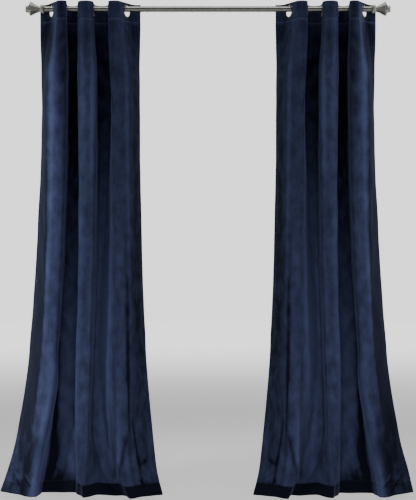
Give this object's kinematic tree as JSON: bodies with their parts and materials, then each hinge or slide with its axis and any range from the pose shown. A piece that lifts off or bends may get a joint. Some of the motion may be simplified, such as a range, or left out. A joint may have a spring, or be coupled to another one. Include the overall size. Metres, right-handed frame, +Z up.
{
  "type": "pair of velvet eyelet curtains on a curtain rod",
  "caption": "Floor-length velvet curtains in soft upright folds, threaded by metal eyelets on a round rod with faceted finials.",
  "frame": {"origin": "on the rod's axis, midway between the finials", "axes": "+X along the rod to the viewer's right, +Y to the wall behind the curtains, +Z up"},
  "size_m": [1.801, 0.1342, 2.1363],
  "materials": {
    "velvet": "navy velvet with a short pile, dark face on and lighter at the edges of its folds",
    "pewter": "dark pewter, satin"
  },
  "bodies": {
    "root": {"curtain_left": "velvet", "curtain_right": "velvet", "eyelet_left_1": "pewter", "eyelet_left_2": "pewter", "eyelet_left_3": "pewter", "eyelet_left_4": "pewter", "eyelet_left_5": "pewter", "eyelet_left_6": "pewter", "eyelet_right_1": "pewter", "eyelet_right_2": "pewter", "eyelet_right_3": "pewter", "eyelet_right_4": "pewter", "eyelet_right_5": "pewter", "eyelet_right_6": "pewter", "finial_left": "pewter", "finial_right": "pewter", "rod": "pewter"}
  },
  "joints": []
}
